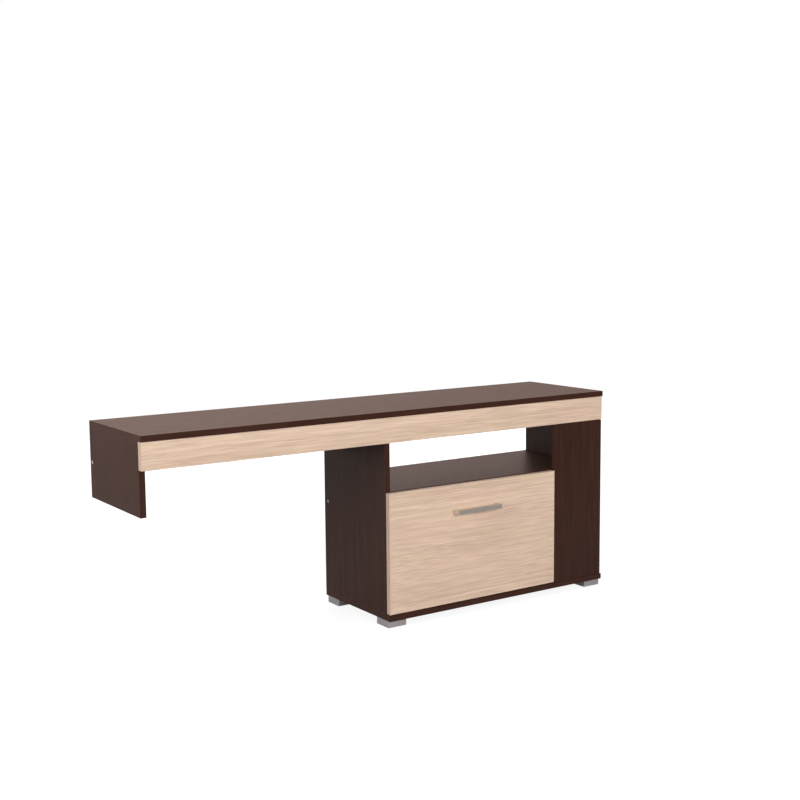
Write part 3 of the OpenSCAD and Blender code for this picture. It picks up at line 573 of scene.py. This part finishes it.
def beech():
    """Raw turned beech with short flecks."""
    finish = Finish("raw_beech")
    ring = finish.noise(finish.stretched([6 * MM] * 3), 2)
    fleck = finish.noise(finish.stretched([0.6 * MM, 0.6 * MM, 3 * MM]), 1).ramp(0.55, 0.7)
    colour = finish.mix(ring, (0.66, 0.45, 0.26), (0.55, 0.35, 0.19))
    edge = finish.edge(0.3 * MM)
    colour = finish.mix(fleck * 0.5, colour, (0.38, 0.22, 0.11))
    colour = finish.mix(edge * 0.5, colour, (0.74, 0.55, 0.35))
    finish.set(base_color=colour, roughness=0.58 + ring * 0.14)
    finish.bump(ring * 0.5 - fleck * 0.4, 0.06 * MM)
    return finish.material


def fibreboard():
    """Thin hardboard: lacquered pale face over brown fibres."""
    finish = Finish("lacquered_fibreboard")
    felt = finish.noise(finish.stretched([1.5 * MM] * 3), 3)
    cloud = finish.noise(finish.stretched([80 * MM] * 3), 2)
    stained = cloud.ramp(0.3, 0.7) * 0.5 + felt * 0.2
    colour = finish.mix(stained, (0.66, 0.62, 0.55), (0.58, 0.53, 0.46))
    edge = finish.edge(0.6 * MM)
    colour = finish.mix(edge * 0.6, colour, (0.40, 0.28, 0.17))
    finish.set(base_color=colour, roughness=0.5 + felt * 0.15)
    finish.bump(felt, 0.04 * MM)
    return finish.material


def make_finishes():
    """One material for each slot, for each way the grain runs, and for the edge bands."""
    look = bpy.context.scene.stand_look
    # Paler colours for the rounded edges: painted highlight, partly edge wear
    dark_edge_highlight_and_wear, light_edge_highlight_and_wear = toned(look.dark, 1.9), toned(look.light, 1.12)
    # The light bands are darker than the face: painted shade for the dimmer light on the boards'
    # edges
    band = tuple(part * share for part, share in zip(look.light, (0.84, 0.815, 0.835)))
    finishes.update(
        dark_x=dark_laminate(X, (0.37, 0.11, 0.53)),
        dark_z=dark_laminate(Z, (0.71, 0.43, 0.19)),
        light_x=light_laminate(X, (0.23, 0.57, 0.31)),
        dark_band=band_finish("dark_edge_band", look.dark, look.dark_streak, dark_edge_highlight_and_wear),
        light_band=band_finish("light_edge_band", band, toned(band, 0.85), light_edge_highlight_and_wear),
        chipboard=chipboard(),
        satin_metal=metal("satin_nickel", (0.80, 0.71, 0.63), (0.68, 0.60, 0.53), 0.32, X, 0.85),
        plated_steel=metal(
            "bright_zinc_plate", (0.78, 0.78, 0.80), (0.62, 0.62, 0.62), 0.36, metallic=0.7
        ),
        zinc=metal("cast_zinc", (0.52, 0.52, 0.54), (0.40, 0.40, 0.41), 0.42, metallic=0.7),
        silver_plastic=moulded("silver_moulding", (0.372, 0.336, 0.346), 0.36),
        cap_plastic=moulded("grey_cap_moulding", (0.54, 0.49, 0.46), 0.4),
        white_plastic=moulded("ivory_moulding", (0.74, 0.72, 0.66), 0.4),
        beech=beech(),
        fibreboard=fibreboard(),
    )


# ---- Modelling ----


def deselect():
    """Leaves nothing selected."""
    bpy.ops.object.select_all(action="DESELECT")


def pick(piece):
    """Selects one piece alone and makes it active."""
    deselect()
    piece.select_set(True)
    bpy.context.view_layer.objects.active = piece


def twin(piece, name):
    """A new piece with its own copy of a piece's mesh."""
    copy = bpy.data.objects.new(name, piece.data.copy())
    bpy.context.scene.collection.objects.link(copy)
    return copy


def copy_of(node, name):
    """A piece that starts as a node's shape, with its doubles merged and its flats whole."""
    piece = twin(frame["nodes"][node], name)
    pick(piece)
    piece.data.materials.clear()
    bpy.ops.mesh.customdata_custom_splitnormals_clear()
    bpy.ops.object.mode_set(mode="EDIT")
    bpy.ops.mesh.select_all(action="SELECT")
    bpy.ops.mesh.remove_doubles(threshold=TOLERANCE)
    bpy.ops.mesh.dissolve_limited(angle_limit=FLAT)
    bpy.ops.object.mode_set(mode="OBJECT")
    return piece


def modify(piece, kind, **settings):
    """Adds a modifier and applies it."""
    pick(piece)
    modifier = piece.modifiers.new(kind.title(), kind)
    for name, setting in settings.items():
        setattr(modifier, name, setting)
    bpy.ops.object.modifier_apply(modifier=modifier.name)


def block(low, high):
    """A box between two corners."""
    deselect()
    bpy.ops.mesh.primitive_cube_add(size=1, location=(low + high) / 2)
    piece = bpy.context.object
    piece.scale = high - low
    bpy.ops.object.transform_apply(location=True, rotation=True, scale=True)
    return piece


def soften(piece, radius, segments):
    """Rounds a piece's corners."""
    modify(
        piece,
        "BEVEL",
        width=radius,
        segments=segments,
        limit_method="ANGLE",
        angle_limit=CORNER,
        use_clamp_overlap=True,
    )
    smooth(piece)


def smooth(piece):
    """Shades curved faces smooth and keeps flat ones flat."""
    pick(piece)
    bpy.ops.object.shade_smooth_by_angle(angle=CURVED)
    modify(piece, "WEIGHTED_NORMAL", keep_sharp=True)


def extent(piece):
    """The lowest and highest corners of a piece's box."""
    points = [vertex.co for vertex in piece.data.vertices]
    return [Vector(limit(point[i] for point in points) for i in AXES) for limit in (min, max)]


def keep_within(piece, corners):
    """Moves points that a bevel has thrown past a box back onto it."""
    low, high = corners
    for vertex in piece.data.vertices:
        for i in AXES:
            vertex.co[i] = min(max(vertex.co[i], low[i]), high[i])


def weigh_edges(piece, weight_of):
    """Weighs each edge that lies along two faces of the piece's box, as a rule says."""
    corners = extent(piece)
    mesh = piece.data
    weights = mesh.attributes.new("bevel_weight_edge", "FLOAT", "EDGE")
    for edge in mesh.edges:
        ends = [mesh.vertices[i].co for i in edge.vertices]
        sides = [
            (axis, end)
            for axis in AXES
            for end in (0, 1)
            if all(abs(point[axis] - corners[end][axis]) < TOLERANCE for point in ends)
        ]
        if len(sides) == 2:
            weights.data[edge.index].value = weight_of(sides)


def choose(piece, rule):
    """Selects, in edit mode, the vertices for which the rule holds."""
    pick(piece)
    bpy.ops.object.mode_set(mode="EDIT")
    bpy.ops.mesh.select_mode(type="VERT")
    bpy.ops.mesh.select_all(action="DESELECT")
    bpy.ops.object.mode_set(mode="OBJECT")
    for vertex in piece.data.vertices:
        vertex.select = rule(vertex)
    bpy.ops.object.mode_set(mode="EDIT")


def close_up(piece):
    """Fills the open ends of a shell and turns its faces outwards."""
    choose(piece, lambda vertex: True)
    bpy.ops.mesh.fill_holes(sides=0)
    bpy.ops.mesh.normals_make_consistent(inside=False)
    bpy.ops.object.mode_set(mode="OBJECT")


def joined(pieces):
    """One piece from several, named as the first."""
    pick(pieces[0])
    for piece in pieces[1:]:
        piece.select_set(True)
    bpy.ops.object.join()
    return pieces[0]


def spots_of(node):
    """The head, the direction of the head and the length of each turned solid of a node."""
    whole = copy_of(node, "parts")
    pick(whole)
    bpy.ops.mesh.separate(type="LOOSE")
    spots = []
    for part in list(bpy.context.selected_objects):
        low, high = extent(part)
        size = high - low
        axis = max(AXES, key=lambda i: size[i])
        centre = (low + high) / 2
        reach = HEAD_SHARE * size[axis]

        def girth(end):
            level = (low, high)[end][axis]
            near = [v.co for v in part.data.vertices if abs(v.co[axis] - level) < reach]
            return max(sum((p[i] - centre[i]) ** 2 for i in AXES if i != axis) for p in near)

        end = 1 if girth(1) > girth(0) else 0
        head = centre.copy()
        head[axis] = (low, high)[end][axis]
        towards = Vector((0, 0, 0))
        towards[axis] = 2 * end - 1
        spots.append((head, towards, size[axis]))
        bpy.data.objects.remove(part)
    return spots


def set_down(pattern, place, towards, name):
    """A copy of a pattern that stands along +Z, put at a place and turned to a direction."""
    piece = twin(pattern, name)
    piece.location = place
    piece.rotation_euler = towards.to_track_quat("Z", "Y").to_euler()
    pick(piece)
    bpy.ops.object.transform_apply(location=True, rotation=True, scale=True)
    return piece


def thread(core, height, pitch, length):
    """A ridge of triangular section that winds up from the origin round +Z."""
    deselect()
    bpy.ops.mesh.primitive_circle_add(vertices=3, radius=core)
    ridge = bpy.context.object
    root, flank = core - THREAD_ROOT, THREAD_FLANK * pitch
    section = ((root, -flank), (core + height, 0), (root, flank))
    for vertex, (out, up) in zip(ridge.data.vertices, section):
        vertex.co = (out, 0, up)
    turns = max(int(length / pitch), 1)
    winding = {"angle": math.tau, "screw_offset": pitch, "iterations": turns}
    modify(ridge, "SCREW", steps=THREAD_STEPS, render_steps=THREAD_STEPS, **winding)
    close_up(ridge)
    return ridge


def fluted_dowel(length):
    """A dowel along +Z with pressed flutes and chamfered ends."""
    deselect()
    bpy.ops.mesh.primitive_circle_add(
        vertices=2 * DOWEL_FLUTES, radius=DOWEL_RADIUS, fill_type="NGON"
    )
    dowel = bpy.context.object
    choose(dowel, lambda vertex: vertex.index % 2)
    bpy.ops.transform.resize(value=(1 - FLUTE_DEPTH, 1 - FLUTE_DEPTH, 1))
    bpy.ops.mesh.select_all(action="SELECT")
    taper = 1 - DOWEL_CHAMFER / DOWEL_RADIUS
    bpy.ops.transform.resize(value=(taper, taper, 1))
    straight = length - 2 * DOWEL_CHAMFER
    for rise, growth in ((DOWEL_CHAMFER, 1 / taper), (straight, 1), (DOWEL_CHAMFER, taper)):
        bpy.ops.mesh.extrude_region_move(TRANSFORM_OT_translate={"value": (0, 0, rise)})
        bpy.ops.transform.resize(value=(growth, growth, 1))
    bpy.ops.mesh.select_all(action="SELECT")
    bpy.ops.mesh.normals_make_consistent(inside=False)
    bpy.ops.object.mode_set(mode="OBJECT")
    return dowel


def finish_piece(piece, body, slot, *materials):
    """Gives a piece its materials and its body. The slot is not used."""
    piece.data.materials.clear()
    for material in materials:
        piece.data.materials.append(finishes[material])
    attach(piece, body)


def stand_for(piece, node):
    """Finishes a piece as its node is and puts it in place of the node."""
    finish_piece(piece, BODY_OF[node], SLOT_OF[node], SLOT_OF[node])
    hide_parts(node)


def cut_board(node):
    """Cuts a copy of a board into its core and its edge bands."""
    make = bpy.context.scene.stand_make
    thickness, grain, banded = BOARDS[node]
    light = node in LIGHT_BOARDS
    slot = "light_laminate" if light else "dark_laminate"
    face = ("light_" if light else "dark_") + "xyz"[grain]
    edging = "light_band" if light else "dark_band"
    body = BODY_OF[node]
    core = copy_of(node, node + "_core")
    for axis, end in banded:
        low, high = extent(core)
        past = Vector((5 * MM,) * 3)
        cut_low, cut_high = low - past, high + past
        if end:
            cut_low[axis] = high[axis] - make.band
        else:
            cut_high[axis] = low[axis] + make.band
        cutter = block(cut_low, cut_high)
        band = twin(core, f"{node}_band_{'xyz'[axis]}{end}")
        modify(band, "BOOLEAN", operation="INTERSECT", object=cutter, solver="MANIFOLD")
        modify(core, "BOOLEAN", operation="DIFFERENCE", object=cutter, solver="MANIFOLD")
        bpy.data.objects.remove(cutter)
        outer, corners = (axis, end), extent(band)
        weigh_edges(band, lambda sides: OUTER if outer in sides else JOINT)
        modify(band, "BEVEL", width=make.arris, segments=3, limit_method="WEIGHT")
        keep_within(band, corners)
        smooth(band)
        finish_piece(band, body, slot, edging)
    weigh_edges(core, lambda sides: JOINT if set(sides) & set(banded) else SAWN)
    modify(core, "BEVEL", width=make.arris, segments=2, limit_method="WEIGHT")
    smooth(core)
    finish_piece(core, body, slot, face, "chipboard")
    # Laminate on the two broad faces, and bare chipboard elsewhere
    levels = [corner[thickness] for corner in extent(core)]
    for polygon in core.data.polygons:
        flat = abs(polygon.normal[thickness]) > FACING
        outside = any(abs(polygon.center[thickness] - level) < make.arris for level in levels)
        polygon.material_index = 0 if flat and outside else 1
    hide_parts(node)


def dress_node(node, radius, segments=2):
    """Puts a copy of a node with softened edges in place of the node."""
    piece = copy_of(node, node + "_piece")
    soften(piece, radius, segments)
    stand_for(piece, node)


def cut_threads(node, core, height, pitch, start, end):
    """Puts a copy of a node's screws with a thread wound round each in place of the node."""
    piece = copy_of(node, node + "_piece")
    modify(piece, "BEVEL", width=SCREW_CHAMFER, segments=1, limit_method="ANGLE")
    ridge = thread(core, height, pitch, end - start)
    ridges = [
        set_down(ridge, head - towards * (length - start), towards, "ridge")
        for head, towards, length in spots_of(node)
    ]
    bpy.data.objects.remove(ridge)
    joined([piece, *ridges])
    smooth(piece)
    stand_for(piece, node)


def cut_dowels(node):
    """Puts fluted dowels in place of a node's plain ones."""
    spots = spots_of(node)
    pattern = fluted_dowel(spots[0][2])
    pieces = [
        set_down(pattern, head - towards * length, towards, node + "_piece")
        for head, towards, length in spots
    ]
    bpy.data.objects.remove(pattern)
    piece = joined(pieces)
    smooth(piece)
    stand_for(piece, node)


# ---- Stage ----


def lay_floor():
    """A wide disc just under the feet: white to the camera, but for the shadow on it."""
    deselect()
    low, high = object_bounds()
    bpy.ops.mesh.primitive_circle_add(
        vertices=96, radius=FLOOR_RADIUS, fill_type="NGON", location=(0, 0, low.z - FLOOR_GAP)
    )
    floor = bpy.context.object
    floor.name = "floor"
    bpy.ops.object.transform_apply(location=True, rotation=True, scale=True)
    finish = Finish("pale_floor")
    away = finish.add("VectorMath", {0: finish.place}, output="Value", operation="LENGTH")
    seen = (
        finish.add("LightPath", output="Is Camera Ray")
        + finish.add("LightPath", output="Is Glossy Ray") * FLOOR_MIRRORED
        + finish.add("LightPath", output="Is Transmission Ray")
    )
    cloud = finish.noise(finish.stretched([0.9] * 3), 1)
    white = seen * away.ramp(*FLOOR_FADE)
    finish.set(
        base_color=finish.mix(cloud * 0.2, (0.22, 0.22, 0.22), (0.20, 0.20, 0.20)),
        roughness=0.9,
        specular_ior_level=0.0,
        emission_color=finish.mix(white, (0, 0, 0), (1, 1, 1)),
        emission_strength=1.0,
    )
    floor.data.materials.append(finish.material)
    floor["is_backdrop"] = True


def light_world(studio):
    """Dim to what it lights, white to the camera, and brightest behind to what it mirrors."""
    world = bpy.data.worlds.new("studio")
    bpy.context.scene.world = world
    sky = Shading(world)
    direction = sky.add("TexCoord", output="Generated")
    across, back = (sky.add("SeparateXYZ", {0: direction}, output=axis) for axis in "XY")
    # Dark in front and bright behind, a little brighter to the left than to the right
    mirrored = back.ramp(-0.3, 0.5, 0.015, 0.70)
    mirrored *= across.ramp(-0.3, 0.3, 1.75, 1.40) * across.ramp(0.38, 0.66, 1.0, 0.75)
    strength = studio.ambient
    for ray, seen in (("Glossy", mirrored), ("Transmission", 1.0), ("Camera", 1.0)):
        chosen = sky.add("LightPath", output=f"Is {ray} Ray")
        strength = sky.add("Mix", {0: chosen, 2: strength, 3: seen})
    tint = sky.mix(sky.add("LightPath", output="Is Glossy Ray"), (1, 1, 1), MIRRORED_TINT)
    sky.show("World", sky.add("Background", {"Color": tint, "Strength": strength}))


def hang_lamps(studio):
    """Square lamps, each with its place, the length of its side and its power."""
    aim = Vector((0, 0, 0.3))
    lamps = (
        ("front_lamp", Vector((0.1, -4.2, 1.4)), 2.0, studio.front),
        ("side_lamp", Vector((-4.1, -0.8, 1.4)), 2.0, studio.side),
        ("overhead_lamp", Vector((0, -0.2, 3.4)), 2.5, studio.overhead),
        ("back_lamp", Vector((2.2, 3.6, 1.1)), 2.0, studio.back),
    )
    for name, place, size, power in lamps:
        deselect()
        bpy.ops.object.light_add(type="AREA", location=place)
        lamp = bpy.context.object
        lamp.name = name
        lamp.data.size = size
        lamp.data.energy = power
        lamp.visible_glossy = name == "overhead_lamp"
        lamp.rotation_euler = (aim - place).to_track_quat("-Z", "Y").to_euler()


def stand_camera(studio):
    """The camera of the main view."""
    deselect()
    bpy.ops.object.camera_add()
    camera = bpy.context.object
    camera.name = "camera"
    camera.data.sensor_width = SENSOR_WIDTH
    camera.data.lens = studio.lens
    camera.matrix_world = (
        Matrix.Translation(studio.eye)
        @ Matrix.Rotation(-studio.heading, 4, "Z")
        @ Matrix.Rotation(math.pi / 2 + studio.tilt, 4, "X")
        @ Matrix.Rotation(studio.roll, 4, "Z")
    )
    bpy.context.scene.camera = camera


# ---- Operators ----


class STAND_OT_finishes(bpy.types.Operator):
    """Make the finishes and put them on the pieces of the frame"""

    bl_idname = "stand.finishes"
    bl_label = "Finishes"

    def execute(self, context):
        make_finishes()
        for node, piece in frame["nodes"].items():
            slot = SLOT_OF[node]
            material = {"dark_laminate": "dark_x", "light_laminate": "light_x"}.get(slot, slot)
            piece.data.materials.clear()
            piece.data.materials.append(finishes[material])
        return {"FINISHED"}


class STAND_OT_boards(bpy.types.Operator):
    """Build the boards with their edge bands"""

    bl_idname = "stand.boards"
    bl_label = "Boards"

    def execute(self, context):
        for node in BOARDS:
            cut_board(node)
        return {"FINISHED"}


class STAND_OT_back(bpy.types.Operator):
    """Build the thin back panel"""

    bl_idname = "stand.back"
    bl_label = "Back panel"

    def execute(self, context):
        dress_node("back_panel", 0.3 * MM)
        return {"FINISHED"}


class STAND_OT_handle(bpy.types.Operator):
    """Build the bar handle"""

    bl_idname = "stand.handle"
    bl_label = "Handle"

    def execute(self, context):
        dress_node("handle", 0.8 * MM, segments=3)
        return {"FINISHED"}


class STAND_OT_feet(bpy.types.Operator):
    """Build the square feet"""

    bl_idname = "stand.feet"
    bl_label = "Feet"

    def execute(self, context):
        for end in ("front", "rear"):
            for side in ("left", "right"):
                dress_node(f"foot_{end}_{side}", 0.5 * MM, segments=3)
        return {"FINISHED"}


class STAND_OT_hinges(bpy.types.Operator):
    """Build the concealed hinges: cups, plates and arms"""

    bl_idname = "stand.hinges"
    bl_label = "Hinges"

    def execute(self, context):
        for node in ("hinge_cups", "hinge_plates", "hinge_arms"):
            dress_node(node, 0.3 * MM)
        return {"FINISHED"}


class STAND_OT_stay(bpy.types.Operator):
    """Build the folding stay of the flap"""

    bl_idname = "stand.stay"
    bl_label = "Flap stay"

    def execute(self, context):
        for node in SLOT_OF:
            if node.startswith("stay_") and node not in THREADS:
                dress_node(node, 0.35 * MM)
        return {"FINISHED"}


class STAND_OT_catch(bpy.types.Operator):
    """Build the magnetic catch and its strike plate"""

    bl_idname = "stand.catch"
    bl_label = "Catch"

    def execute(self, context):
        for node in ("catch_housing", "catch_magnet", "strike_plate"):
            dress_node(node, 0.3 * MM)
        return {"FINISHED"}


class STAND_OT_blocks(bpy.types.Operator):
    """Build the rail's corner blocks and the screw caps"""

    bl_idname = "stand.blocks"
    bl_label = "Blocks and caps"

    def execute(self, context):
        for node in ("rail_blocks", "screw_caps"):
            dress_node(node, 0.3 * MM)
        return {"FINISHED"}


class STAND_OT_fasteners(bpy.types.Operator):
    """Build the cams, the fluted dowels and the threaded screws and bolts"""

    bl_idname = "stand.fasteners"
    bl_label = "Fasteners"

    def execute(self, context):
        dress_node("cam_locks", 0.3 * MM)
        cut_dowels("wood_dowels")
        for node, (shank, *sizes) in THREADS.items():
            cut_threads(node, shank * MM / 2, *(size * MM for size in sizes))
        return {"FINISHED"}


class STAND_OT_stage(bpy.types.Operator):
    """Lay the floor, set the lamps and stand the camera"""

    bl_idname = "stand.stage"
    bl_label = "Stage"

    def execute(self, context):
        studio = context.scene.stand_studio
        context.scene.view_settings.view_transform = "Standard"
        lay_floor()
        light_world(studio)
        hang_lamps(studio)
        stand_camera(studio)
        return {"FINISHED"}


class STAND_PT_panel(bpy.types.Panel):
    """Shows the stand's settings and the buttons that build its pieces"""

    bl_idname = "STAND_PT_panel"
    bl_label = "Television Stand"
    bl_space_type = "VIEW_3D"
    bl_region_type = "UI"
    bl_category = "Stand"

    def draw(self, context):
        scene = context.scene
        for group in (scene.stand_look, scene.stand_make, scene.stand_studio):
            box = self.layout.box()
            for name in group.__annotations__:
                box.prop(group, name)
        for operator in OPERATORS:
            self.layout.operator(operator.bl_idname)


OPERATORS = (
    STAND_OT_finishes,
    STAND_OT_boards,
    STAND_OT_back,
    STAND_OT_handle,
    STAND_OT_feet,
    STAND_OT_hinges,
    STAND_OT_stay,
    STAND_OT_catch,
    STAND_OT_blocks,
    STAND_OT_fasteners,
    STAND_OT_stage,
)
GROUPS = {"stand_look": StandLook, "stand_make": StandMake, "stand_studio": StandStudio}


def register():
    for group in GROUPS.values():
        bpy.utils.register_class(group)
    for name, group in GROUPS.items():
        setattr(bpy.types.Scene, name, bpy.props.PointerProperty(type=group))
    for operator in OPERATORS:
        bpy.utils.register_class(operator)
    bpy.utils.register_class(STAND_PT_panel)


def unregister():
    bpy.utils.unregister_class(STAND_PT_panel)
    for operator in reversed(OPERATORS):
        bpy.utils.unregister_class(operator)
    for name in GROUPS:
        delattr(bpy.types.Scene, name)
    for group in GROUPS.values():
        bpy.utils.unregister_class(group)


def main():
    register()
    bpy.ops.stand.finishes()
    bpy.ops.stand.boards()
    bpy.ops.stand.back()
    bpy.ops.stand.handle()
    bpy.ops.stand.feet()
    bpy.ops.stand.hinges()
    bpy.ops.stand.stay()
    bpy.ops.stand.catch()
    bpy.ops.stand.blocks()
    bpy.ops.stand.fasteners()
    bpy.ops.stand.stage()


if __name__ == "__main__":
    main()
